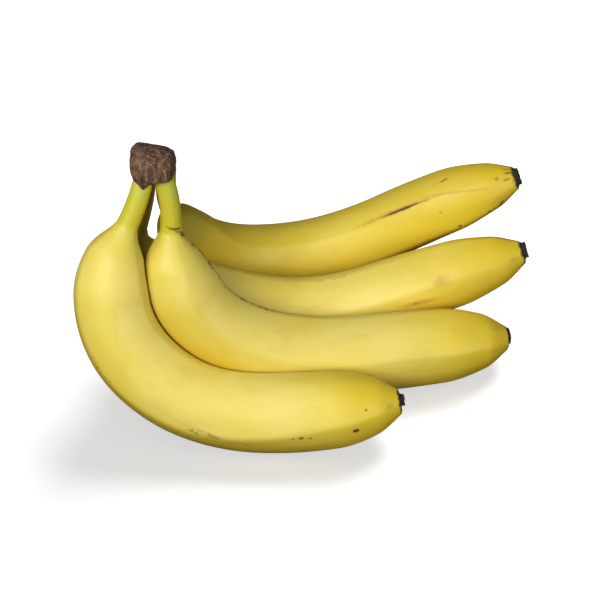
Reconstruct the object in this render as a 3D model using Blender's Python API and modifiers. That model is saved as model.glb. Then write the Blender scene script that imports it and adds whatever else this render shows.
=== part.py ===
"""A bunch of four bananas lying on its bellies, as cut from the plant.

Each banana is one solid with its own stalk, lofted along a curved axis that lies in a
leaning plane.  The four stalks sit in sockets of the woody crown, and each blunt tip
carries its dried blossom end.  Neighbours press flat against each other, and the bellies
are pressed flat on the ground.

+Z is up and +X runs from the crown's side to the tips.  The origin is on the ground, in
the middle of the bunch's box.
"""

import math

import bmesh
import bpy
import numpy as np
from mathutils import Matrix, Vector

MM = 0.001

# ---------------------------------------------------------------- driving dimensions, in mm

STALK_RADIUS = 4.3        # the thin part of each stalk
ROOT_RADIUS = 3.4         # its tapered end inside the crown
SHOULDER_RADIUS = 4.75    # where it begins to widen into the banana
SHOULDER_PLACE = 0.92     # of the stalk's length
TIP_RADIUS = 5.2          # the blunt end of each banana
ROOT_DEPTH = 7.0          # how far each stalk reaches up into the crown
ROOT_WEB = 1.0            # the crown's wood between two stalks

CROWN_SIDE_WOOD = 0.7     # wood outside the stalks, left and right
CROWN_END_WOOD = 2.4      # wood outside the stalks, front and back
CROWN_CAP = 10.5          # wood above the stalks' ends, at the highest corner
CROWN_LIFT = 0.6          # how far the crown's lowest point is above the stalks' roots
CROWN_BACK_FALL = 0.45    # fall of the cut face for each mm towards the back
CROWN_RIGHT_FALL = 0.25   # and for each mm to the right
CROWN_SQUARENESS = 0.6    # power that pushes a ball out towards a box: 1 ball, 0 box
CROWN_WAVE = 0.035        # height of its low waves, as a share of its half size

BLOSSOM_RIM = 1.0         # bare rim of the tip round the dried blossom end
BLOSSOM_LENGTH = 2.2
BLOSSOM_OFFSET = 0.6      # from the middle of the tip towards the inner side

SOCKET_CLEARANCE = 0.3    # stalk to crown
SEAT_CLEARANCE = 0.3      # blossom end to tip
CONTACT_GAP = 0.5         # banana to banana where they press on each other
FLOOR_PRESS = 1.8         # how far the lowest belly is pressed flat

RIDGES = 5
RIDGE_HEIGHT = 0.035      # as a share of the local radius
RIDGE_START = 0.12        # share of the body over which the ridges rise from the stalk
RIDGE_END = 0.08          # and over which they fade out at the tip

# The stalks stand in two rows, about a pitch apart, and the crown closes round them.
ROOT_PITCH = 2 * STALK_RADIUS + ROOT_WEB
CROWN_WIDTH = ROOT_PITCH + 2 * STALK_RADIUS + 2 * CROWN_SIDE_WOOD
CROWN_DEPTH = ROOT_PITCH + 2 * STALK_RADIUS + 2 * CROWN_END_WOOD
CROWN_HEIGHT = ROOT_DEPTH + CROWN_CAP

BLOSSOM_RADIUS = TIP_RADIUS - BLOSSOM_RIM

# Each banana: name; place of its stalk under the crown, in pitches left-right and
# front-back and in mm up; lean and yaw of the plane that its curve lies in; headings of
# its axis in that plane at HEADING_PLACES; stalk length, body length, girth (the diameter
# at the belly) and roll of the ridges.  Angles in degrees, lengths in mm.
BANANAS = (
    {
        "name": "front", "root": (-0.52, -0.55, 0.2), "lean": 24, "yaw": 0,
        "headings": (-105, -115, -93, -43, 0, 10),
        "stalk": 20, "body": 191, "girth": 35.4, "roll": 0,
    },
    {
        "name": "second", "root": (0.50, -0.50, 0.4), "lean": 14, "yaw": 11,
        "headings": (-80, -94, -73, -26, -3, -2),
        "stalk": 22.5, "body": 198, "girth": 35.6, "roll": 15,
    },
    {
        "name": "third", "root": (-0.42, 0.52, -0.4), "lean": -1, "yaw": 8,
        "headings": (-93, -106, -45, -21, 17, 17),
        "stalk": 34.5, "body": 218, "girth": 32.6, "roll": 0,
    },
    {
        "name": "back", "root": (0.49, 0.53, -0.8), "lean": -22, "yaw": 11,
        "headings": (-93, -79, -66, -10, 37, 25),
        "stalk": 43, "body": 215, "girth": 31.2, "roll": -30,
    },
)

# Places of the headings: the root, the stalk's end, then shares of the body's length.
HEADING_PLACES = (0.15, 0.40, 0.70, 1.0)

# The body's radius as shares of half the girth, at shares of the body's length.
BODY_PLACES = (0.08, 0.17, 0.42, 0.68, 0.84, 0.94)
BODY_SHARES = (0.74, 0.935, 1.0, 1.0, 0.96, 0.715)

# The blossom end's turned profile, as shares of its radius and length: the dished end,
# the flared rim, the waist and the seat.
BLOSSOM_PROFILE = ((0, 0.72), (0.5, 0.80), (0.82, 1), (0.95, 0.9), (0.84, 0.5), (1, 0), (0, 0))

# ---------------------------------------------------------------- mesh density

RINGS = 38                # along a banana
SIDES = 20                # around a banana
AXIS_STEPS = 400          # points of the measured axis
TURNED_STEPS = 16         # around a blossom end
CROWN_SEGMENTS = 24       # around the crown
CROWN_LAYERS = 14         # from its top to its bottom

# How the rings are spread: shares of their number at the root, the stalk's end, the neck's
# end, the start of the tip and the tip, so that they stand closer along the bends.
RING_SHARES = (0, 0.16, 0.36, 0.85, 1)
NECK_END = 0.2
TIP_START = 0.85

# Neighbours are drawn back from each other in a few steps, each a part of what is left.
PRESS_STEPS = 8
PRESS_STEP = 0.6

# ---------------------------------------------------------------- finishes

PEEL_COLOUR = (0.80, 0.64, 0.16, 1)
PEEL_ROUGHNESS = 0.45
CROWN_COLOUR = (0.16, 0.09, 0.06, 1)
CROWN_ROUGHNESS = 0.85
BLOSSOM_COLOUR = (0.03, 0.022, 0.018, 1)
BLOSSOM_ROUGHNESS = 0.9


def smooth_through(places, values, at):
    """A cubic through (place, value) pairs that never overshoots them.

    The slope at a point is the harmonic mean of the slopes beside it, and 0 where they
    change sign.
    """
    x = np.asarray(places, float)
    y = np.asarray(values, float)
    step = np.diff(x)
    slope = np.diff(y) / step
    left, right = slope[:-1], slope[1:]
    same = left * right > 0
    mean = np.where(same, 2 * left * right / np.where(same, left + right, 1), 0)
    tangent = np.concatenate(([slope[0]], mean, [slope[-1]]))
    k = np.clip(np.searchsorted(x, at, side="right") - 1, 0, len(step) - 1)
    t = (at - x[k]) / step[k]
    start = (1 + 2 * t) * (1 - t) ** 2 * y[k] + t * (1 - t) ** 2 * step[k] * tangent[k]
    end = t * t * (3 - 2 * t) * y[k + 1] + t * t * (t - 1) * step[k] * tangent[k + 1]
    return start + end


def radius_along(banana, at):
    """Radius at distances along the axis from the stalk's root: stalk, body, blunt tip."""
    stalk, body = banana["stalk"], banana["body"]
    places = [-ROOT_DEPTH, 0, SHOULDER_PLACE * stalk]
    places += [stalk + share * body for share in BODY_PLACES] + [stalk + body]
    values = [ROOT_RADIUS, STALK_RADIUS, SHOULDER_RADIUS]
    values += [share * banana["girth"] / 2 for share in BODY_SHARES] + [TIP_RADIUS]
    return smooth_through(places, values, at)


def axis_of(banana):
    """The banana's axis, from the stalk's end in the crown to the blunt tip.

    The heading turns smoothly through the stated headings, and its direction is summed
    along the length.  Returns distances, points, directions and the two normals: outward
    on the bent side, and across the plane.
    """
    stalk, body = banana["stalk"], banana["body"]
    lean, yaw = math.radians(banana["lean"]), math.radians(banana["yaw"])
    along = np.linspace(-ROOT_DEPTH, stalk + body, AXIS_STEPS)
    places = [0, stalk] + [stalk + p * body for p in HEADING_PLACES]
    turned = smooth_through(places, np.radians(banana["headings"]), np.maximum(along, 0))
    level = np.array([math.cos(yaw), math.sin(yaw), 0])
    rising = np.array([-math.sin(lean) * math.sin(yaw), math.sin(lean) * math.cos(yaw), math.cos(lean)])
    cos, sin = np.cos(turned)[:, None], np.sin(turned)[:, None]
    direction = cos * level + sin * rising
    outward = sin * level - cos * rising
    across = np.broadcast_to(np.cross(level, rising), direction.shape)
    step = along[1] - along[0]
    points = np.zeros_like(direction)
    points[1:] = np.cumsum((direction[1:] + direction[:-1]) / 2 * step, axis=0)
    start = int(np.argmin(abs(along)))
    pitches = np.array(banana["root"])
    root = np.array([pitches[0] * ROOT_PITCH, pitches[1] * ROOT_PITCH, pitches[2]])
    return along, points - points[start] + root, direction, outward, across


def ring_places(banana):
    """Distances of the rings: closer together along the stalk, the neck and the tip."""
    stalk, body = banana["stalk"], banana["body"]
    share = np.linspace(0, 1, RINGS)
    neck, tip = stalk + NECK_END * body, stalk + TIP_START * body
    return smooth_through(RING_SHARES, (-ROOT_DEPTH, stalk, neck, tip, stalk + body), share)


def surface_of(banana, axis):
    """Rings of points round the axis, with five soft ridges on the body.

    The radius at angle a is the local radius times 1 + height * cos(5 (a - roll)), where
    the height fades out on the stalk and at the tip.
    """
    along, points, _, outward, across = axis
    at = ring_places(banana)
    centre = np.stack([np.interp(at, along, points[:, k]) for k in range(3)], -1)
    out = np.stack([np.interp(at, along, outward[:, k]) for k in range(3)], -1)
    side = np.stack([np.interp(at, along, across[:, k]) for k in range(3)], -1)
    angle = np.arange(SIDES) * 2 * math.pi / SIDES
    share = (at - banana["stalk"]) / banana["body"]
    rise, fade = np.clip(share / RIDGE_START, 0, 1), np.clip((1 - share) / RIDGE_END, 0, 1)
    height = (RIDGE_HEIGHT * rise * fade)[:, None]
    ridges = np.cos(RIDGES * (angle - math.radians(banana["roll"])))
    radius = radius_along(banana, at)[:, None] * (1 + height * ridges)
    round_it = np.cos(angle)[None, :, None] * out[:, None] + np.sin(angle)[None, :, None] * side[:, None]
    return centre, round_it, radius


def clearance_from(points, axis, banana):
    """How far points lie outside a banana's round form: distance to its axis less radius."""
    along, line = axis[0], axis[1]
    flat = points.reshape(-1, 3)
    apart = np.linalg.norm(flat[:, None] - line[None], axis=2) - radius_along(banana, along)[None]
    return apart.min(axis=1).reshape(points.shape[:-1])


def press_together(index, surfaces, axes):
    """Draw a banana's points in to the middle surface between it and each neighbour.

    A point stays on its own side when it lies nearer to its own round form than to the
    neighbour's by the contact gap.
    """
    centre, round_it, radius = surfaces[index]
    for _ in range(PRESS_STEPS):
        points = centre[:, None] + radius[..., None] * round_it
        own = clearance_from(points, axes[index], BANANAS[index])
        excess = np.zeros_like(radius)
        for other, banana in enumerate(BANANAS):
            if other != index:
                theirs = clearance_from(points, axes[other], banana)
                excess = np.maximum(excess, own - theirs + CONTACT_GAP)
        radius = radius - PRESS_STEP * np.maximum(excess, 0)
    return centre[:, None] + radius[..., None] * round_it


def loft(rings, start, end):
    """A closed mesh through rings of points, with a fan at each end round a middle point."""
    mesh = bmesh.new()
    grid = [[mesh.verts.new(Vector(p) * MM) for p in ring] for ring in rings]
    first = mesh.verts.new(Vector(start) * MM)
    last = mesh.verts.new(Vector(end) * MM)
    sides = len(grid[0])
    for k in range(sides):
        after = (k + 1) % sides
        for ring, above in zip(grid[:-1], grid[1:]):
            mesh.faces.new((ring[k], ring[after], above[after], above[k]))
        mesh.faces.new((first, grid[0][after], grid[0][k]))
        mesh.faces.new((last, grid[-1][k], grid[-1][after]))
    bmesh.ops.recalc_face_normals(mesh, faces=mesh.faces[:])
    return mesh


def make_material(name, colour, roughness):
    """A Principled finish of one colour."""
    material = bpy.data.materials.new(name)
    material.use_nodes = True
    shader = material.node_tree.nodes["Principled BSDF"]
    shader.inputs["Base Color"].default_value = colour
    shader.inputs["Roughness"].default_value = roughness
    shader.inputs["Metallic"].default_value = 0.0
    return material


def add_object(name, mesh, collection, material=None):
    """Put a bmesh into a collection as a smooth shaded object."""
    data = bpy.data.meshes.new(name)
    mesh.to_mesh(data)
    mesh.free()
    data.shade_smooth()
    if material:
        data.materials.append(material)
    thing = bpy.data.objects.new(name, data)
    collection.objects.link(thing)
    return thing


def make_banana(banana, points, axis, floor, collection):
    """One banana with its stalk: pressed rings, flat on the ground, blunt at the tip."""
    points = points.copy()
    points[..., 2] = np.maximum(points[..., 2], floor)
    name = "banana_" + banana["name"]
    material = make_material(name + "_peel", PEEL_COLOUR, PEEL_ROUGHNESS)
    return add_object(name, loft(points, axis[1][0], axis[1][-1]), collection, material)


def make_socket_cutter(banana, points, axis, collection):
    """The part of a stalk that the crown holds, grown by the socket's clearance."""
    at = ring_places(banana)
    count = int(np.searchsorted(at, CROWN_HEIGHT))
    along, line, direction = axis[0], axis[1], axis[2]
    centre = np.stack([np.interp(at[:count], along, line[:, k]) for k in range(3)], -1)
    spokes = points[:count] - centre[:, None]
    length = np.linalg.norm(spokes, axis=2, keepdims=True)
    grown = centre[:, None] + spokes * (1 + SOCKET_CLEARANCE / length)
    grown[0] -= direction[0] * SOCKET_CLEARANCE
    start = line[0] - direction[0] * SOCKET_CLEARANCE
    name = "socket_" + banana["name"]
    cutter = add_object(name, loft(grown, start, centre[-1]), collection)
    cutter.hide_render = True
    cutter.display_type = "WIRE"
    return cutter


def make_crown(cutters, collection):
    """The woody crown: a rounded block with a sloping cut face and the stalks' sockets.

    A ball's points are pushed out towards a box by a power of each coordinate, with low
    waves, and the upper ones fall with the distance to the right and behind the middle.
    """
    mesh = bmesh.new()
    bmesh.ops.create_uvsphere(mesh, u_segments=CROWN_SEGMENTS, v_segments=CROWN_LAYERS, radius=1.0)
    half = Vector((CROWN_WIDTH / 2, CROWN_DEPTH / 2, CROWN_HEIGHT / 2))
    middle = CROWN_HEIGHT / 2 + CROWN_LIFT
    for vert in mesh.verts:
        boxed = Vector([math.copysign(abs(c) ** CROWN_SQUARENESS, c) for c in vert.co])
        wave = math.sin(5 * vert.co.x + 2 * vert.co.z) * math.cos(4 * vert.co.y)
        place = Vector([boxed[k] * half[k] * (1 + CROWN_WAVE * wave) for k in range(3)])
        fall = CROWN_BACK_FALL * max(place.y, 0) + CROWN_RIGHT_FALL * (half.x + place.x)
        place.z -= fall * (1 + boxed.z) / 2
        vert.co = (place + Vector((0, 0, middle))) * MM
    wood = make_material("crown_wood", CROWN_COLOUR, CROWN_ROUGHNESS)
    crown = add_object("crown", mesh, collection, wood)
    for cutter in cutters:
        cut = crown.modifiers.new(cutter.name, "BOOLEAN")
        cut.operation = "DIFFERENCE"
        cut.solver = "EXACT"
        cut.object = cutter
    return crown


def make_blossom_end(banana, axis, collection):
    """The dried blossom end: a turned nub on the tip, flared at its rim and dished."""
    data = bpy.data.meshes.new("blossom_profile")
    corners = [(x * BLOSSOM_RADIUS * MM, 0, z * BLOSSOM_LENGTH * MM) for x, z in BLOSSOM_PROFILE]
    data.from_pydata(corners, [(k, k + 1) for k in range(len(corners) - 1)], [])
    name = "blossom_end_" + banana["name"]
    nub = bpy.data.objects.new(name, data)
    nub.data.materials.append(make_material(name + "_dry", BLOSSOM_COLOUR, BLOSSOM_ROUGHNESS))
    collection.objects.link(nub)
    turn = nub.modifiers.new("turned", "SCREW")
    turn.steps = TURNED_STEPS
    turn.render_steps = TURNED_STEPS
    turn.use_merge_vertices = True
    turn.merge_threshold = 0.00001
    line, direction, outward, across = (part[-1] for part in axis[1:])
    place = line + direction * SEAT_CLEARANCE - outward * BLOSSOM_OFFSET
    columns = Matrix((Vector(outward), Vector(across), Vector(direction))).transposed()
    nub.matrix_world = Matrix.Translation(Vector(place) * MM) @ columns.to_4x4()
    return nub


def shift_to_origin(objects):
    """The move that brings the middle of the box's bottom to the origin."""
    bpy.context.view_layer.update()
    graph = bpy.context.evaluated_depsgraph_get()
    corners = []
    for thing in objects:
        shape = thing.evaluated_get(graph).to_mesh()
        corners += [thing.matrix_world @ vert.co for vert in shape.vertices]
    low = Vector([min(c[k] for c in corners) for k in range(3)])
    high = Vector([max(c[k] for c in corners) for k in range(3)])
    return Vector((-(low.x + high.x) / 2, -(low.y + high.y) / 2, -low.z))


def main():
    """Build the bunch in the frame of its crown, then stand it on the origin."""
    for thing in list(bpy.data.objects):
        bpy.data.objects.remove(thing)
    parts = bpy.data.collections.new("bunch_of_bananas")
    guides = bpy.data.collections.new("cutters")
    bpy.context.scene.collection.children.link(parts)
    bpy.context.scene.collection.children.link(guides)

    axes = [axis_of(banana) for banana in BANANAS]
    surfaces = [surface_of(banana, axis) for banana, axis in zip(BANANAS, axes)]
    pressed = [press_together(k, surfaces, axes) for k in range(len(BANANAS))]
    floor = min(points[..., 2].min() for points in pressed) + FLOOR_PRESS

    made = []
    cutters = []
    for banana, points, axis in zip(BANANAS, pressed, axes):
        made.append(make_banana(banana, points, axis, floor, parts))
        made.append(make_blossom_end(banana, axis, parts))
        cutters.append(make_socket_cutter(banana, points, axis, guides))
    made.append(make_crown(cutters, parts))

    shift = Matrix.Translation(shift_to_origin(made))
    for thing in made + cutters:
        thing.matrix_world = shift @ thing.matrix_world


main()
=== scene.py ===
"""How a bunch of four ripe bananas looks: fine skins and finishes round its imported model.

Every banana is a ring carried along a curved axis, with soft ridges, low swells and a
ledge at its shoulder.  Neighbours press flat on each other and the bellies on the floor.
The crown is a lumpy fibrous ball pushed out towards a box, and each dried blossom end is
a ragged turned nub.  Shapes are worked out in mm in the crown's own frame, and then moved
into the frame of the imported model.
"""

import math

import bpy
import numpy as np
from mathutils import Matrix, Vector


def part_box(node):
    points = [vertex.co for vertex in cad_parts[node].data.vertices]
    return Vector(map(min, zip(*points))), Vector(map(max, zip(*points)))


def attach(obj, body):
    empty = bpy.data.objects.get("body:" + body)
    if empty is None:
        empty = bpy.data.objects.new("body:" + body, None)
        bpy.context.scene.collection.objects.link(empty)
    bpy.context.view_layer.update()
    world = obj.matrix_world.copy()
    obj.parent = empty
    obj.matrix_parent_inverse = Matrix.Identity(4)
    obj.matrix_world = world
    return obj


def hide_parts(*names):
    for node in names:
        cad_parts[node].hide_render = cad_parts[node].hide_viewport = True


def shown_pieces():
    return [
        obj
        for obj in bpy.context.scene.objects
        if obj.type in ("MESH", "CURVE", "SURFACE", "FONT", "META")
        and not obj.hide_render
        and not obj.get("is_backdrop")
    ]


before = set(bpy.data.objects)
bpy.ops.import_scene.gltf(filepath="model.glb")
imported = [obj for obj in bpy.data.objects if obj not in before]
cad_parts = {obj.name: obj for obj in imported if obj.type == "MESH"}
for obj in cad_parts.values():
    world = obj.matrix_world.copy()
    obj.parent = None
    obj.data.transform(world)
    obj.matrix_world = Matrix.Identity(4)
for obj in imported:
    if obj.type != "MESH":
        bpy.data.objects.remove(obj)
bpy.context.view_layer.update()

MM = 0.001

# ------------------------------------------ sizes of the model, in mm, as the part has them

STALK_RADIUS = 4.3
ROOT_RADIUS = 3.4
SHOULDER_RADIUS = 4.75
SHOULDER_PLACE = 0.92
TIP_RADIUS = 5.2
ROOT_DEPTH = 7.0
ROOT_WEB = 1.0
ROOT_PITCH = 2 * STALK_RADIUS + ROOT_WEB

CROWN_SIDE_WOOD = 0.7
CROWN_END_WOOD = 2.4
CROWN_CAP = 10.5
CROWN_LIFT = 0.6
CROWN_HALF = (
    ROOT_PITCH / 2 + STALK_RADIUS + CROWN_SIDE_WOOD,
    ROOT_PITCH / 2 + STALK_RADIUS + CROWN_END_WOOD,
    (ROOT_DEPTH + CROWN_CAP) / 2,
)
CROWN_MIDDLE = CROWN_LIFT + CROWN_HALF[2]
CROWN_BACK_FALL = 0.45
CROWN_RIGHT_FALL = 0.25
CROWN_SQUARENESS = 0.6

# How far the crown's hem is drawn up its stalks, in mm, at angles round it: 0 right,
# -90 front.  Its longest tongue is between the front stalk and the third.
CROWN_HEM_PLACES = (-180, -150, -128, -110, -98, -88, -75, -46, 0, 90, 180)
CROWN_HEM = (3.5, 3.5, 1.2, -2.4, 0.2, 2.6, 3.8, 3.0, 2.0, 1.5, 3.5)

BLOSSOM_OFFSET = 0.6
# A blossom end's outline, from inside the tip out over its rim and into its hollow end:
# shares of its radius and its length.
NUB_OUTLINE = (
    (1.1, -0.4), (0.92, 0.3), (0.95, 0.75), (0.85, 1), (0.6, 0.85), (0.3, 0.72), (0.08, 0.7),
)
SEAT_CLEARANCE = 0.3
CONTACT_GAP = 0.3         # between drawn skins; the part's coarser ones keep 0.5
FLOOR_PRESS = 1.8

HEADING_PLACES = (0.15, 0.40, 0.70, 1.0)
BODY_PLACES = (0.08, 0.17, 0.42, 0.68, 0.84, 0.94)
BODY_SHARES = (0.74, 0.935, 1.0, 1.0, 0.96, 0.715)

# Each banana: the curve of its axis as in the model, then its own looks.  Ridges are
# angles round the axis at mid length, 0 on the bent side and 90 on the side that faces
# forwards, and twist is how far they turn along the whole body.  Then come how strong the
# painted shade at its neck is, where it sits behind the others' stalks, and how strong its
# pale bloom and its shoulder's step are.  A blossom end has a radius, a length and a seed.
# A mark has a kind, the mm along from the stalk's end, an angle, a length, a width, a
# slant and a strength.
BANANAS = (
    {
        "name": "front", "painted_neck_shade": 0.0, "pale": 1.0, "ledge": 0.35,
        "root": (-0.52, -0.55, 0.2), "lean": 24, "yaw": 0,
        "headings": (-105, -115, -93, -43, 0, 10),
        "stalk": 20, "body": 191, "girth": 35.4,
        "ridges": (0, 60, 175, 240, 300), "twist": 75,
        "blossom": (2.8, 1.5, 1),
        "marks": (
            ("spot", 170, 73, 2.9, 2.5, 0, 0.95),
            ("spot", 146, 74, 2.4, 1.3, 10, 0.85),
            ("spot", 142.5, 73, 1.5, 1.0, 0, 0.7),
            ("spot", 150, 72, 1.4, 1.1, 0, 0.7),
            ("spot", 175.5, 107, 1.5, 1.2, 0, 0.7),
            ("specks", 108, 66, 42, 4.5, -8, 0.5),
            ("specks", 56, 46, 9, 1.8, 0, 0.7),
            ("specks", 62, 49, 7, 1.6, 12, 0.6),
            ("specks", -0.5, 100, 8, 1.3, 90, 0.45),
            ("rust", 186, 105, 5, 3.5, 0, 0.5),
            ("rust", 110, 66, 46, 5, -8, 0.25),
        ),
    },
    {
        "name": "second", "painted_neck_shade": 0.0, "pale": 1.0, "ledge": 0.5,
        "root": (0.50, -0.50, 0.4), "lean": 14, "yaw": 11,
        "headings": (-80, -94, -73, -26, -3, -2),
        "stalk": 22.5, "body": 198, "girth": 35.6,
        "ridges": (32, 104, 184, 257, 325), "twist": 6,
        "blossom": (4.1, 0.9, 2),
        "marks": (
            ("green", -12, 128, 26, 3.6, 0, 0.45),
            ("crack", -3.2, 88, 5.5, 0.7, 78, 0.7),
            ("crack", -2.4, 112, 6, 1.1, 84, 0.85),
            ("crack", -0.6, 130, 5, 0.9, 70, 0.7),
            ("crack", 1.6, 152, 6, 1.1, 60, 0.7),
            ("specks", 0.5, 125, 12, 4.0, 80, 0.8),
            ("specks", 5.5, 165, 10, 2.6, 20, 0.9),
            ("specks", 24, 178, 46, 4.4, -4, 0.95),
            ("specks", 60, 184, 52, 3.8, 0, 0.85),
            ("rust", 30, 182, 60, 5.0, 0, 0.35),
            ("rust", 191, 150, 8, 4.0, 0, 0.25),
            ("rust", 189, 95, 7, 4.0, 0, 0.3),
        ),
    },
    {
        "name": "third", "painted_neck_shade": 0.75, "pale": 0.85, "ledge": 0.6,
        "root": (-0.42, 0.52, -0.4), "lean": -1, "yaw": 8,
        "headings": (-93, -106, -45, -21, 17, 17),
        "stalk": 34.5, "body": 218, "girth": 32.6,
        "ridges": (50, 122, 194, 266, 338), "twist": 10,
        "blossom": (3.9, 1.6, 3),
        "marks": (
            ("rust", 178, 131, 12, 8.0, 0, 0.5),
            ("specks", 177, 130, 5, 3.0, 30, 0.35),
            ("rust", 165, 106, 22, 4.0, -6, 0.6),
            ("specks", 165, 106, 17, 2.2, -8, 0.5),
            ("rust", 213, 120, 6, 4.0, 0, 0.4),
            ("specks", 120, 190, 70, 2.0, 0, 0.3),
        ),
    },
    {
        "name": "back", "painted_neck_shade": 0.75, "pale": 0.3, "ledge": 0.6,
        "root": (0.49, 0.53, -0.8), "lean": -22, "yaw": 11,
        "headings": (-93, -79, -66, -10, 37, 25),
        "stalk": 43, "body": 215, "girth": 31.2,
        "ridges": (29, 101, 173, 245, 317), "twist": -14,
        "blossom": (4.2, 1.4, 4),
        "marks": (
            ("rust", 158, 173, 52, 3.2, -1, 0.65),
            ("scar", 163, 171.5, 26, 1.5, -1, 1.0),
            ("rust", 188, 167, 40, 1.6, -12, 0.45),
            ("specks", 179, 191, 16, 1.3, 22, 0.6),
            ("spot", 185, 198, 4.0, 1.4, 20, 0.6),
            ("rust", 179.5, 141, 2.6, 2.2, 0, 0.7),
            ("spot", 184, 99, 2.2, 1.8, 0, 0.8),
            ("spot", 207.5, 169, 2.2, 1.7, 30, 0.45),
            ("scar", 211.5, 158, 4.0, 1.3, 0, 0.6),
            ("scar", 212.5, 186, 4.5, 1.5, 0, 0.7),
            ("scar", 212.5, 205, 5, 1.3, 0, 0.5),
            ("specks", 201, 95, 16, 3.5, 0, 0.9),
            ("rust", 205, 110, 12, 6.0, 0, 0.35),
            ("rust", 145, 88, 90, 12.0, 0, 0.35),
        ),
    },
)

# ---------------------------------------------------------------- fineness of the skins

RINGS = 430               # along a banana
SIDES = 220               # around a banana
AXIS_STEPS = 400
RING_SHARES = (0, 0.16, 0.36, 0.85, 1)
NECK_END = 0.2
TIP_START = 0.85
PRESS_STEPS = 8
PRESS_STEP = 0.6
COARSE = 4                # every so many axis points are measured when skins press
CROWN_RINGS = 150
CROWN_SIDES = 260
SOCKET_ROW_STEP = 3       # a socket needs fewer rings and sides than the skin it fits
SOCKET_SIDE_STEP = 5
SOCKET_SPARE_ROWS = 30    # how far a socket runs on below the crown
BLOSSOM_RINGS = 60
BLOSSOM_SIDES = 120

RIDGE_HEIGHT = 0.06       # as a share of the radius; the part's plainer ones have 0.035
RIDGE_WIDTH = 13.0        # degrees
RIDGE_ROUND = 0.4         # how blunt a ridge's edge is, as a share of its width
RIDGE_START = 0.12
RIDGE_END = 0.08
TIP_EDGE = 0.9            # how far the blunt tip's edge is rounded over


# ================================================================ shapes

def smooth_through(places, values, at):
    """A cubic through (place, value) pairs; its slopes are harmonic means, so none overshoots."""
    x = np.asarray(places, float)
    y = np.asarray(values, float)
    step = np.diff(x)
    slope = np.diff(y) / step
    left, right = slope[:-1], slope[1:]
    same = left * right > 0
    mean = np.where(same, 2 * left * right / np.where(same, left + right, 1), 0)
    tangent = np.concatenate(([slope[0]], mean, [slope[-1]]))
    k = np.clip(np.searchsorted(x, at, side="right") - 1, 0, len(step) - 1)
    t = (at - x[k]) / step[k]
    start = (1 + 2 * t) * (1 - t) ** 2 * y[k] + t * (1 - t) ** 2 * step[k] * tangent[k]
    end = t * t * (3 - 2 * t) * y[k + 1] + t * t * (t - 1) * step[k] * tangent[k + 1]
    return start + end


def waves(points, lengths, seed, count=14):
    """A smooth random field: the mean of plane waves in random directions, stretched by the
    wave lengths along x, y and z.  It lies within about -1 to 1."""
    random = np.random.default_rng(seed)
    ways = random.normal(size=(count, 3))
    ways /= np.linalg.norm(ways, axis=1, keepdims=True)
    ways *= 2 * math.pi / np.asarray(lengths, float)
    phases = random.uniform(0, 2 * math.pi, count)
    flat = np.asarray(points).reshape(-1, 3)
    return (np.cos(flat @ ways.T + phases).mean(axis=1) * 2).reshape(points.shape[:-1])


def bell(value, middle, width):
    """A bump of height 1 at the middle that dies away over the width."""
    return np.exp(-(((value - middle) / width) ** 2))


def crest(value):
    """A ridge of height 1 at 0 with straight flanks that die away, and a blunt edge."""
    return np.exp(RIDGE_ROUND - np.hypot(value, RIDGE_ROUND))


def turn_apart(angle, other):
    """The difference of two angles in degrees, from -180 to 180."""
    return (angle - other + 180) % 360 - 180


def radius_along(banana, at):
    """Radius at distances from the stalk's root end: stalk, shoulder, body, blunt tip."""
    stalk, body = banana["stalk"], banana["body"]
    places = [-ROOT_DEPTH, 0, SHOULDER_PLACE * stalk]
    places += [stalk + share * body for share in BODY_PLACES] + [stalk + body]
    values = [ROOT_RADIUS, STALK_RADIUS, SHOULDER_RADIUS]
    values += [share * banana["girth"] / 2 for share in BODY_SHARES] + [TIP_RADIUS]
    return smooth_through(places, values, at)


def axis_of(banana):
    """The axis: its heading turns smoothly in a leaning plane, and its direction is summed
    along the length.  Gives distances, points, directions, and the outward and across normals."""
    stalk, body = banana["stalk"], banana["body"]
    lean, yaw = math.radians(banana["lean"]), math.radians(banana["yaw"])
    along = np.linspace(-ROOT_DEPTH, stalk + body, AXIS_STEPS)
    places = [0, stalk] + [stalk + p * body for p in HEADING_PLACES]
    turned = smooth_through(places, np.radians(banana["headings"]), np.maximum(along, 0))
    level = np.array([math.cos(yaw), math.sin(yaw), 0])
    rising = np.array([-math.sin(lean) * math.sin(yaw), math.sin(lean) * math.cos(yaw), math.cos(lean)])
    cos, sin = np.cos(turned)[:, None], np.sin(turned)[:, None]
    direction = cos * level + sin * rising
    outward = sin * level - cos * rising
    across = np.broadcast_to(np.cross(level, rising), direction.shape)
    step = along[1] - along[0]
    points = np.zeros_like(direction)
    points[1:] = np.cumsum((direction[1:] + direction[:-1]) / 2 * step, axis=0)
    start = int(np.argmin(abs(along)))
    pitches = np.array(banana["root"])
    root = np.array([pitches[0] * ROOT_PITCH, pitches[1] * ROOT_PITCH, pitches[2]])
    return along, points - points[start] + root, direction, outward, across


def read_along(at, along, rows):
    """Rows of a table, read at distances along the axis."""
    return np.stack([np.interp(at, along, rows[:, k]) for k in range(3)], -1)


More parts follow.
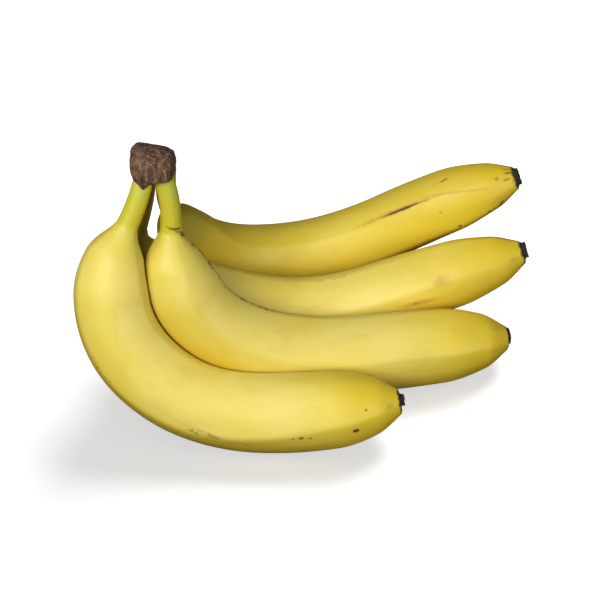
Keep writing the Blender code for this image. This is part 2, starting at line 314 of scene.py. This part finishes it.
def skin_of(banana, axis):
    """The banana's free skin as spokes: ring middles, unit spokes, their lengths, and for
    each point its place on a straightened banana, its share along and its ridge height.

    The length at angle a is the local radius, times 1 plus the ridges' bells less their
    mean, plus low swells, fine fibres on the stalk and the ledge at the shoulder.
    """
    along = axis[0]
    stalk, body = banana["stalk"], banana["body"]
    share = np.linspace(0, 1, RINGS)
    neck, tip = stalk + NECK_END * body, stalk + TIP_START * body
    at = smooth_through(RING_SHARES, (-ROOT_DEPTH, stalk, neck, tip, stalk + body), share)
    middle, out, side = (read_along(at, along, axis[k]) for k in (1, 3, 4))
    angle = np.arange(SIDES) * 2 * math.pi / SIDES
    spoke = np.cos(angle)[None, :, None] * out[:, None] + np.sin(angle)[None, :, None] * side[:, None]

    degrees = np.degrees(angle)
    places = (at - stalk) / body
    twist = banana["twist"] * (np.clip(places, 0, 1) - 0.5)[:, None]
    crests = sum(crest(turn_apart(degrees - twist, ridge) / RIDGE_WIDTH) for ridge in banana["ridges"])
    rise = np.clip(places / RIDGE_START, 0, 1) * np.clip((1 - places) / RIDGE_END, 0, 1)
    height = RIDGE_HEIGHT * (0.35 + 0.65 * rise)[:, None]
    radius = radius_along(banana, at)[:, None]
    over = np.clip((at - stalk - body + TIP_EDGE) / TIP_EDGE, 0, 1)[:, None]
    edge = TIP_EDGE * (1 - np.sqrt(1 - over**2))
    length = radius * (1 + height * (crests - crests.mean())) - edge

    straight = np.empty((RINGS, SIDES, 3))
    straight[..., 0] = (at - stalk)[:, None]
    straight[..., 1] = radius * np.cos(angle)
    straight[..., 2] = radius * np.sin(angle)
    seed = len(banana["name"]) + int(banana["body"])
    swell = waves(straight, (70, 24, 24), seed) * 0.28 * np.clip(places + 0.1, 0, 1)[:, None] ** 0.5
    swell += waves(straight, (26, 9, 9), seed + 1) * 0.06
    fibre = waves(straight, (30, 2.2, 2.2), seed + 2) * 0.07 * bell(places, -0.05, 0.12)[:, None]
    ledge = straight[..., 0] - 1.2 * waves(straight, (60, 7, 7), seed + 3)
    ledge = -0.32 * bell(ledge, 0.5, 0.7) + 0.22 * bell(ledge, 2.4, 1.2)
    length = length + swell + fibre + banana["ledge"] * ledge
    shares = np.where(places < 0, (at - stalk) / (stalk + ROOT_DEPTH), places)
    shares = np.broadcast_to(shares[:, None], (RINGS, SIDES))
    return middle, spoke, length, straight, shares, crests * rise[:, None]


def clearance_from(points, axis, banana):
    """How far points lie outside a banana's round form: distance to its axis less radius."""
    line = axis[1][::COARSE]
    radius = radius_along(banana, axis[0][::COARSE])
    square = (points**2).sum(1)[:, None] + (line**2).sum(1)[None] - 2 * points @ line.T
    return (np.sqrt(np.maximum(square, 0)) - radius[None]).min(axis=1)


def press_together(index, skins, axes):
    """Shorten a banana's spokes to the middle surface between it and each neighbour.

    A point stays where it is nearer to its own round form than to the neighbour's by the
    contact gap; only points that reach past it are measured again."""
    middle, spoke, length = skins[index][:3]
    centre = np.broadcast_to(middle[:, None], spoke.shape).reshape(-1, 3)
    ways = spoke.reshape(-1, 3)
    reach = length.reshape(-1).copy()
    moving = np.arange(len(reach))
    for _ in range(PRESS_STEPS):
        points = centre[moving] + reach[moving, None] * ways[moving]
        own = clearance_from(points, axes[index], BANANAS[index])
        excess = np.zeros(len(moving))
        for other, banana in enumerate(BANANAS):
            if other != index:
                theirs = clearance_from(points, axes[other], banana)
                excess = np.maximum(excess, own - theirs + CONTACT_GAP)
        moving, excess = moving[excess > 0], excess[excess > 0]
        reach[moving] -= PRESS_STEP * excess
    return (centre + reach[:, None] * ways).reshape(spoke.shape)


def closed_skin(name, grid, start, end, layers=None):
    """A closed mesh object through a grid of rings, with a fan at each end round a middle
    point.  Layers are named vertex attributes on the same grid, floats or vectors."""
    rows, sides = grid.shape[:2]
    points = np.concatenate([grid.reshape(-1, 3), [start], [end]]) * MM
    here = np.arange(rows * sides).reshape(rows, sides)
    after = np.roll(here, -1, axis=1)
    quads = np.stack([here[:-1], here[1:], after[1:], after[:-1]], -1).reshape(-1, 4)
    first, last = rows * sides, rows * sides + 1
    ends = np.concatenate([
        np.stack([np.full(sides, first), here[0], after[0]], -1),
        np.stack([np.full(sides, last), after[-1], here[-1]], -1),
    ])
    corners = np.concatenate([quads.ravel(), ends.ravel()])
    counts = np.concatenate([np.full(len(quads), 4), np.full(len(ends), 3)])
    mesh = bpy.data.meshes.new(name)
    mesh.vertices.add(len(points))
    mesh.vertices.foreach_set("co", points.ravel())
    mesh.loops.add(len(corners))
    mesh.loops.foreach_set("vertex_index", corners)
    mesh.polygons.add(len(counts))
    mesh.polygons.foreach_set("loop_start", np.concatenate([[0], np.cumsum(counts)[:-1]]))
    mesh.polygons.foreach_set("use_smooth", np.ones(len(counts), bool))
    for layer, values in (layers or {}).items():
        vector = values.ndim == 3
        flat = values.reshape(rows * sides, -1)
        flat = np.concatenate([flat, [flat[:sides].mean(0)], [flat[-sides:].mean(0)]])
        kind, field = ("FLOAT_VECTOR", "vector") if vector else ("FLOAT", "value")
        mesh.attributes.new(layer, kind, "POINT").data.foreach_set(field, flat.ravel())
    mesh.update(calc_edges=True)
    mesh.validate()
    thing = bpy.data.objects.new(name, mesh)
    bpy.context.scene.collection.objects.link(thing)
    return thing


# ================================================================ finishes

class Wire:
    """A socket in a node tree.  Arithmetic on it adds Math nodes."""

    def __init__(self, nodes, socket):
        self.nodes = nodes
        self.socket = socket

    def math(self, operation, *values):
        sockets = dict(enumerate(values))
        return self.nodes.add("ShaderNodeMath", {"operation": operation}, sockets)

    def __add__(self, other):
        return self.math("ADD", self, other)

    def __sub__(self, other):
        return self.math("SUBTRACT", self, other)

    def __mul__(self, other):
        return self.math("MULTIPLY", self, other)

    def __rsub__(self, other):
        return self.math("SUBTRACT", other, self)

    __radd__ = __add__
    __rmul__ = __mul__

    def least(self, other):
        return self.math("MINIMUM", self, other)

    def between(self, low, high):
        """Rises smoothly from 0 at low to 1 at high, or falls when high is below low."""
        rising = low < high
        sockets = {"Value": self, "From Min": min(low, high), "From Max": max(low, high)}
        sockets["To Min"] = 0.0 if rising else 1.0
        sockets["To Max"] = 1.0 if rising else 0.0
        return self.nodes.add("ShaderNodeMapRange", {"interpolation_type": "SMOOTHSTEP"}, sockets)


class Nodes:
    """A node tree, built node by node."""

    def __init__(self, tree):
        self.tree = tree

    def add(self, kind, settings, sockets, out=0):
        """A node of a kind: its settings first, then the values or wires of its sockets."""
        node = self.tree.nodes.new(kind)
        for name, value in settings.items():
            setattr(node, name, value)
        for name, value in sockets.items():
            self.join(node.inputs[name], value)
        return Wire(self, node.outputs[out])

    def join(self, socket, value):
        if isinstance(value, Wire):
            self.tree.links.new(value.socket, socket)
        elif isinstance(value, tuple) and len(value) == 3 and socket.type == "RGBA":
            socket.default_value = (*value, 1.0)
        else:
            socket.default_value = value

    def blend(self, share, first, second):
        """A colour between two, by a share from 0 to 1."""
        return self.add("ShaderNodeMix", {"data_type": "RGBA"}, {0: share, 6: first, 7: second}, out=2)

    def attribute(self, name, out="Fac"):
        return self.add("ShaderNodeAttribute", {"attribute_name": name}, {}, out)

    def scaled(self, vector, scale):
        return self.add("ShaderNodeVectorMath", {"operation": "MULTIPLY"}, {0: vector, 1: scale})

    def noise(self, vector, scale, detail=2.0, rough=0.5):
        sockets = {"Vector": vector, "Scale": scale, "Detail": detail, "Roughness": rough}
        return self.add("ShaderNodeTexNoise", {}, sockets)

    def bump(self, height, distance, strength, below=None):
        sockets = {"Height": height, "Distance": distance, "Strength": strength}
        if below is not None:
            sockets["Normal"] = below
        return self.add("ShaderNodeBump", {}, sockets)


class Finish(Nodes):
    """A procedural material round one Principled shader."""

    def __init__(self, name, roughness):
        self.material = bpy.data.materials.new(name)
        self.material.use_nodes = True
        super().__init__(self.material.node_tree)
        self.shader = self.tree.nodes["Principled BSDF"]
        self.set("Roughness", roughness)

    def set(self, name, value):
        """Joins a value or a wire to a socket of the shader."""
        self.join(self.shader.inputs[name], value)


RIPE = (0.76, 0.565, 0.022)
PALE = (0.79, 0.655, 0.15)
GREENISH = (0.55, 0.50, 0.018)
STALK_GREEN = (0.51, 0.525, 0.055)
GOLDEN = (0.66, 0.45, 0.012)
# Painted shade: the dark yellow-green that darkens necks sitting in the shade of other stalks.
PAINTED_SHADE_OLIVE = (0.17, 0.155, 0.012)
SCAR_BROWN = (0.115, 0.038, 0.014)
FRESH_GREEN = (0.34, 0.46, 0.01)
ORANGE = (0.72, 0.43, 0.012)
RUST = (0.45, 0.22, 0.02)
BROWN = (0.10, 0.038, 0.010)
DARK = (0.018, 0.010, 0.008)

# Each kind of mark: its colour, whether it breaks up into specks, and how far from its
# middle its full colour reaches, as a share: 0 is a soft smudge.
MARKS = {
    "spot": (BROWN, False, 0.7), "scar": (SCAR_BROWN, False, 0.5), "specks": (BROWN, True, 0.7),
    "crack": (BROWN, False, 0.7), "rust": (RUST, False, 0.0), "green": (FRESH_GREEN, False, 0.0),
}


def peel_finish(banana):
    """Waxy peel: yellow with a paler bloom and greener drifts, a green stalk, golden tip,
    mottling, fine long streaks, greener ridges, marks and a dark ragged end.  Painted shade
    turns the underside golden and darkens the shaded necks."""
    peel = Finish("peel_" + banana["name"], 0.45)
    place = peel.attribute("straight", "Vector")
    share = peel.attribute("share")
    ridge = peel.attribute("ridge")
    drift = peel.noise(peel.scaled(place, (1.0, 2.2, 2.2)), 22.0, 3.0)
    streak = peel.noise(peel.scaled(place, (0.06, 1.0, 1.0)), 900.0, 3.0, 0.6)
    mottle = peel.noise(peel.scaled(place, (0.5, 1.0, 1.0)), 110.0, 4.0, 0.6)
    grain = peel.noise(place, 1500.0, 2.0)
    ragged = peel.noise(place, 260.0, 4.0, 0.65)

    bloom = (drift.between(0.35, 0.7) * 0.5 + 0.5) * share.between(1.0, 0.7) * banana["pale"]
    colour = peel.blend(bloom, RIPE, PALE)
    green = share.between(0.14, -0.12) * (0.75 + 0.5 * drift)
    colour = peel.blend(green.least(1.0), colour, GREENISH)
    colour = peel.blend(share.between(-0.25, -0.75) * 0.8, colour, STALK_GREEN)
    colour = peel.blend(share.between(0.8, 1.0) * 0.4, colour, GOLDEN)
    colour = peel.blend(mottle.between(0.5, 0.68) * 0.22, colour, GOLDEN)
    normal = peel.add("ShaderNodeNewGeometry", {}, {}, out="Normal")
    upward = peel.add("ShaderNodeSeparateXYZ", {}, {"Vector": normal}, out="Z")
    # Painted shade: the peel turns golden where its surface faces down, standing in for the shade on the
    # undersides.
    colour = peel.blend(upward.between(0.45, -0.3) * 0.75, colour, GOLDEN)
    # Painted shade: the neck and stalk darken, by how shaded the banana sits behind the others' stalks.
    colour = peel.blend(share.between(0.2, -0.05) * banana["painted_neck_shade"], colour, PAINTED_SHADE_OLIVE)
    colour = peel.blend(streak.between(0.52, 0.75) * 0.16, colour, ORANGE)
    colour = peel.blend(ridge.between(0.75, 1.0) * drift.between(0.3, 0.6) * 0.22, colour, GREENISH)

    tip = (share + (ragged - 0.5) * 0.02).between(0.992, 0.999)
    colour = peel.blend(tip, colour, DARK)
    for kind, along, angle, length, width, slant, strength in banana["marks"]:
        tint, broken, core = MARKS[kind]
        reach = mark(peel, banana, place, ragged, along, angle, length, width, slant)
        spot = reach.between(1.15, core)
        if broken:
            spot = spot * ragged.between(0.5, 0.6)
        colour = peel.blend(spot * strength, colour, tint)
    peel.set("Base Color", colour)

    rough = 0.46 + 0.12 * drift + 0.35 * tip
    peel.set("Roughness", rough)
    bumps = peel.bump(streak, 0.00012, 0.35)
    bumps = peel.bump(grain, 0.00004, 0.5, below=bumps)
    peel.set("Normal", bumps)
    peel.set("Specular IOR Level", 0.5)
    peel.set("Coat Weight", 0.22)
    peel.set("Coat Roughness", 0.5)
    return peel.material


def mark(peel, banana, place, ragged, along, angle, length, width, slant):
    """An oval patch on the straightened banana, ragged at its edge: the reach from its
    middle, which is 1 on its outline."""
    turn = math.radians(angle)
    radius = float(radius_along(banana, np.array([banana["stalk"] + along]))[0])
    radial = Vector((0, math.cos(turn), math.sin(turn)))
    around = Vector((0, -math.sin(turn), math.cos(turn)))
    lie = math.radians(slant)
    long_way = Vector((1, 0, 0)) * math.cos(lie) + around * math.sin(lie)
    wide_way = radial.cross(long_way)
    middle = Vector((along, 0, 0)) + radial * radius
    turned = Matrix((long_way, wide_way, radial)).transposed().to_euler()
    sockets = {
        "Vector": place, "Location": tuple(middle * MM), "Rotation": tuple(turned),
        "Scale": (length * MM / 2, width * MM / 2, radius * MM),
    }
    local = peel.add("ShaderNodeMapping", {"vector_type": "TEXTURE"}, sockets)
    reach = peel.add("ShaderNodeVectorMath", {"operation": "LENGTH"}, {0: local}, out="Value")
    return reach + (ragged - 0.5) * 1.2


def crown_finish():
    """Dry fibrous wood: purple-brown with tan fibres and flecks, darker in its hollows."""
    wood = Finish("crown_wood", 0.85)
    place = wood.add("ShaderNodeTexCoord", {}, {}, out="Object")
    fibre = wood.noise(wood.scaled(place, (1.0, 1.0, 0.22)), 620.0, 4.0, 0.65)
    blotch = wood.noise(place, 260.0, 4.0, 0.6)
    fleck = wood.noise(wood.scaled(place, (1.0, 1.0, 0.45)), 1300.0, 2.0)
    colour = wood.blend(blotch.between(0.38, 0.62), (0.07, 0.024, 0.026), (0.135, 0.07, 0.036))
    colour = wood.blend(fibre.between(0.5, 0.68) * 0.85, colour, (0.34, 0.205, 0.095))
    colour = wood.blend(fleck.between(0.6, 0.72) * 0.7, colour, (0.42, 0.28, 0.13))
    colour = wood.blend(fibre.between(0.42, 0.3) * 0.85, colour, DARK)
    wood.set("Base Color", colour)
    bumps = wood.bump(fibre, 0.0009, 0.9)
    wood.set("Normal", wood.bump(blotch, 0.0008, 0.6, below=bumps))
    return wood.material


def blossom_finish():
    """Dried flower remnant: nearly black with grey-brown crusts."""
    dry = Finish("blossom_dry", 0.9)
    place = dry.add("ShaderNodeTexCoord", {}, {}, out="Object")
    crust = dry.noise(place, 900.0, 4.0, 0.65)
    colour = dry.blend(crust.between(0.5, 0.72), DARK, (0.12, 0.085, 0.06))
    dry.set("Base Color", colour)
    dry.set("Normal", dry.bump(crust, 0.0006, 0.9))
    return dry.material


# ================================================================ pieces

def make_crown(cutters):
    """The crown: a ball's points pushed out towards a box by a power of each coordinate,
    the upper ones falling to the right and behind, with lumps, upright fibres, its right
    side drawn in, a raised corner at the left, and a hem that follows the stalks."""
    rows, sides = CROWN_RINGS, CROWN_SIDES
    polar = (np.arange(rows) + 0.5)[:, None] / rows * math.pi
    azimuth = np.arange(sides)[None] / sides * 2 * math.pi
    ball = np.stack([
        np.sin(polar) * np.cos(azimuth),
        np.sin(polar) * np.sin(azimuth),
        np.cos(polar) + 0 * azimuth,
    ], -1)
    boxed = np.sign(ball) * abs(ball) ** CROWN_SQUARENESS
    half = np.array(CROWN_HALF)
    degrees = np.degrees(azimuth) + 0 * polar
    broad = 0.03 * waves(boxed * half, (11, 11, 14), 3)
    small = 0.022 * waves(boxed * half, (3.2, 3.2, 6), 4)
    lumps = 1 + broad + small
    fibres = waves(boxed * half, (1.5, 1.5, 12), 5) * bell(boxed[..., 2], 0, 1.1)
    place = boxed * half * lumps[..., None]
    level = ball * np.array([1, 1, 0])
    place += level * (0.25 * fibres)[..., None]
    upper = bell(turn_apart(degrees, -15), 0, 40) * bell(boxed[..., 2], 0.35, 0.4)
    lower = bell(turn_apart(degrees, -20), 0, 35) * bell(boxed[..., 2], -0.45, 0.35)
    place -= level * (1.3 * upper + 0.75 * lower)[..., None]
    fall = CROWN_BACK_FALL * np.maximum(place[..., 1], 0) + CROWN_RIGHT_FALL * (half[0] + place[..., 0])
    place[..., 2] -= fall * (1 + boxed[..., 2]) / 2
    corner = bell(place[..., 0], -8, 4) * bell(place[..., 1], -3, 6)
    place[..., 2] += 0.9 * corner * np.clip(boxed[..., 2], 0, 1)
    hem = smooth_through(CROWN_HEM_PLACES, CROWN_HEM, turn_apart(degrees, 0))
    place[..., 2] += np.clip(-boxed[..., 2], 0, 1) * hem
    place[..., 2] += CROWN_MIDDLE
    crown = closed_skin("woody_crown", place, place[0].mean(0), place[-1].mean(0))
    cut_out(crown, cutters)
    return crown


def cut_out(piece, cutters):
    """Cuts the cutters out of a piece and removes them.  Two triangles that lie back to
    back on the same three points are slivers of the cut, and are left out."""
    for cutter in cutters:
        cut = piece.modifiers.new(cutter.name, "BOOLEAN")
        cut.operation = "DIFFERENCE"
        cut.solver = "EXACT"
        cut.object = cutter
    bpy.context.view_layer.update()
    shown = piece.evaluated_get(bpy.context.evaluated_depsgraph_get())
    whole = bpy.data.meshes.new_from_object(shown)
    whole.calc_loop_triangles()
    points = np.empty(3 * len(whole.vertices))
    corners = np.empty(3 * len(whole.loop_triangles), int)
    whole.vertices.foreach_get("co", points)
    whole.loop_triangles.foreach_get("vertices", corners)
    corners = corners.reshape(-1, 3)
    same_points = np.sort(corners, axis=1)
    _, which, times = np.unique(same_points, axis=0, return_inverse=True, return_counts=True)
    kept = corners[times[which.ravel()] == 1]
    used, renumbered = np.unique(kept, return_inverse=True)
    piece.modifiers.clear()
    piece.data.clear_geometry()
    piece.data.from_pydata(points.reshape(-1, 3)[used], [], renumbered.reshape(-1, 3))
    piece.data.polygons.foreach_set("use_smooth", np.ones(len(kept), bool))
    piece.data.update()
    bpy.data.meshes.remove(whole)
    for cutter in cutters:
        bpy.data.objects.remove(cutter)


def make_socket(banana, grid, axis):
    """A hidden cutter: the top of a stalk, grown by the clearance that the crown keeps."""
    inside = np.searchsorted(axis[0] + ROOT_DEPTH, 2 * CROWN_MIDDLE) / AXIS_STEPS
    rows = int(inside * RINGS) + SOCKET_SPARE_ROWS
    rings = grid[:rows:SOCKET_ROW_STEP, ::SOCKET_SIDE_STEP]
    middle = rings.mean(axis=1, keepdims=True)
    spokes = rings - middle
    reach = np.linalg.norm(spokes, axis=2, keepdims=True)
    grown = middle + spokes * (1 + SEAT_CLEARANCE / reach)
    cutter = closed_skin("socket_" + banana["name"], grown, grown[0].mean(0), grown[-1].mean(0))
    cutter.hide_render = True
    return cutter


def make_blossom(banana, axis):
    """A dried blossom end: a turned nub, flared at a ragged rim and hollow at its end.

    The profile is carried round the tip, its radius and height wavering with the angle."""
    radius, length, seed = banana["blossom"]
    corner = np.arange(len(NUB_OUTLINE))
    steps = np.linspace(0, corner[-1], BLOSSOM_RINGS)
    shares_out, shares_up = np.array(NUB_OUTLINE).T
    out = np.interp(steps, corner, shares_out)[:, None]
    up = np.interp(steps, corner, shares_up)[:, None]
    angle = np.arange(BLOSSOM_SIDES)[None] * 2 * math.pi / BLOSSOM_SIDES
    ball = np.stack([np.cos(angle) * out, np.sin(angle) * out, up + 0 * angle], -1)
    waver = waves(ball, (1.6, 1.6, 2.5), seed)
    rough = waves(ball, (0.35, 0.35, 0.5), seed + 10)
    wide = radius * out * (1 + 0.10 * waver * up + 0.05 * rough)
    high = length * up * (1 + 0.22 * waver + 0.12 * rough)
    line, direction, outward, across = (part[-1] for part in axis[1:])
    seat = line + direction * SEAT_CLEARANCE - outward * BLOSSOM_OFFSET
    spoke = np.cos(angle)[..., None] * outward + np.sin(angle)[..., None] * across
    return seat + wide[..., None] * spoke + high[..., None] * direction


def shift_to_frame(skins, floor):
    """The move from the crown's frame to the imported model's: the floor goes to 0, and the
    middles of the bananas' boxes, left to right and front to back, go to the model's."""
    gaps = []
    for banana, grid in zip(BANANAS, skins):
        low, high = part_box("banana_" + banana["name"])
        mine = (grid.min(axis=(0, 1)) + grid.max(axis=(0, 1))) / 2
        gaps.append(np.array((low + high) / 2) / MM - mine)
    across, deep, _ = np.mean(gaps, axis=0)
    return np.array([across, deep, -floor])


def finish_piece(piece, node, material):
    """Gives a piece its finish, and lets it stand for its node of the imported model."""
    piece.data.materials.append(material)
    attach(piece, "root")
    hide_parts(node)


# ================================================================ the bunch

axes = [axis_of(banana) for banana in BANANAS]
free = [skin_of(banana, axis) for banana, axis in zip(BANANAS, axes)]
pressed = [press_together(k, free, axes) for k in range(len(BANANAS))]
floor_height = min(grid[..., 2].min() for grid in pressed) + FLOOR_PRESS
for grid in pressed:
    grid[..., 2] = np.maximum(grid[..., 2], floor_height)
shift = shift_to_frame(pressed, floor_height)

sockets = []
dry = blossom_finish()
for banana, grid, skin, axis in zip(BANANAS, pressed, free, axes):
    name = banana["name"]
    layers = {"straight": skin[3] * MM, "share": skin[4], "ridge": skin[5]}
    placed = grid + shift
    piece = closed_skin("peel_" + name, placed, axis[1][0] + shift, axis[1][-1] + shift, layers)
    finish_piece(piece, "banana_" + name, peel_finish(banana))
    nub = make_blossom(banana, axis) + shift
    end = closed_skin("blossom_" + name, nub, nub[0].mean(0), nub[-1].mean(0))
    finish_piece(end, "blossom_end_" + name, dry)
    sockets.append(make_socket(banana, grid, axis))

crown = make_crown(sockets)
crown.data.transform(Matrix.Translation(Vector(shift) * MM))
finish_piece(crown, "crown", crown_finish())

# ================================================================ floor, light and camera

FLOOR_SIZE = 8.0
FLOOR_GLOW = 0.62
FLOOR_COLOUR = (0.9, 0.9, 0.9)
WHITE = (1.0, 1.0, 1.0)
HORIZON = 0.3             # half the height over which the light fades from above to below
AIM = Vector((-0.0041, 0.0362, -0.0008))
ELEVATION = 45.0
DISTANCE = 0.9
SENSOR = 36.0
FOCAL = 110.7


def make_floor():
    """A plain pale floor."""
    half = FLOOR_SIZE / 2
    mesh = bpy.data.meshes.new("floor")
    corners = [(-half, -half, 0), (half, -half, 0), (half, half, 0), (-half, half, 0)]
    mesh.from_pydata(corners, [], [(0, 1, 2, 3)])
    floor = bpy.data.objects.new("floor", mesh)
    pale = Finish("pale_floor", 0.9)
    pale.set("Base Color", FLOOR_COLOUR)
    pale.set("Emission Color", WHITE)
    pale.set("Emission Strength", FLOOR_GLOW)
    mesh.materials.append(pale.material)
    floor.visible_diffuse = False
    floor.visible_glossy = False
    bpy.context.scene.collection.objects.link(floor)
    floor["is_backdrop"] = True


def make_lamp(name, place, size, power, lit):
    """A square soft white lamp that looks at the bunch, and lights only one collection."""
    light = bpy.data.lights.new(name, "AREA")
    light.shape = "SQUARE"
    light.size = size
    light.energy = power
    lamp = bpy.data.objects.new(name, light)
    lamp.location = place
    lamp.rotation_euler = (AIM - Vector(place)).to_track_quat("-Z", "Y").to_euler()
    lamp.light_linking.receiver_collection = lit
    bpy.context.scene.collection.objects.link(lamp)


def make_world(above, below):
    """Soft white light from above that fades to a weaker one from below."""
    world = bpy.data.worlds.new("studio")
    world.use_nodes = True
    sky = Nodes(world.node_tree)
    way = sky.add("ShaderNodeTexCoord", {}, {}, out="Generated")
    height = sky.add("ShaderNodeSeparateXYZ", {}, {"Vector": way}, out="Z")
    sockets = {"Value": height, "From Min": -HORIZON, "From Max": HORIZON, "To Min": below, "To Max": above}
    background = sky.tree.nodes["Background"]
    sky.join(background.inputs["Strength"], sky.add("ShaderNodeMapRange", {}, sockets))
    sky.join(background.inputs["Color"], WHITE)
    bpy.context.scene.world = world


def make_camera():
    """The camera looks along +Y, down at the bunch."""
    lens = bpy.data.cameras.new("camera")
    lens.sensor_width = SENSOR
    lens.lens = FOCAL
    camera = bpy.data.objects.new("camera", lens)
    rise = math.radians(ELEVATION)
    camera.location = AIM + DISTANCE * Vector((0, -math.cos(rise), math.sin(rise)))
    camera.rotation_euler = (math.pi / 2 - rise, 0, 0)
    bpy.context.scene.collection.objects.link(camera)
    bpy.context.scene.camera = camera


make_floor()
bunch = bpy.data.collections.new("bunch")
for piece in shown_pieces():
    bunch.objects.link(piece)
ground = bpy.data.collections.new("ground")
ground.objects.link(bpy.data.objects["floor"])
make_lamp("key", (-0.45, -0.74, 0.85), 0.7, 12.8, bunch)
make_lamp("top", (-0.9, 0.35, 1.3), 0.8, 4, bunch)
make_lamp("fill", (1.0, -0.95, 0.6), 0.9, 7.5, bunch)
make_lamp("back", (0.5, 0.9, 1.5), 1.0, 27, ground)
make_world(0.10, 0.012)
make_camera()
bpy.context.scene.view_settings.view_transform = "Standard"
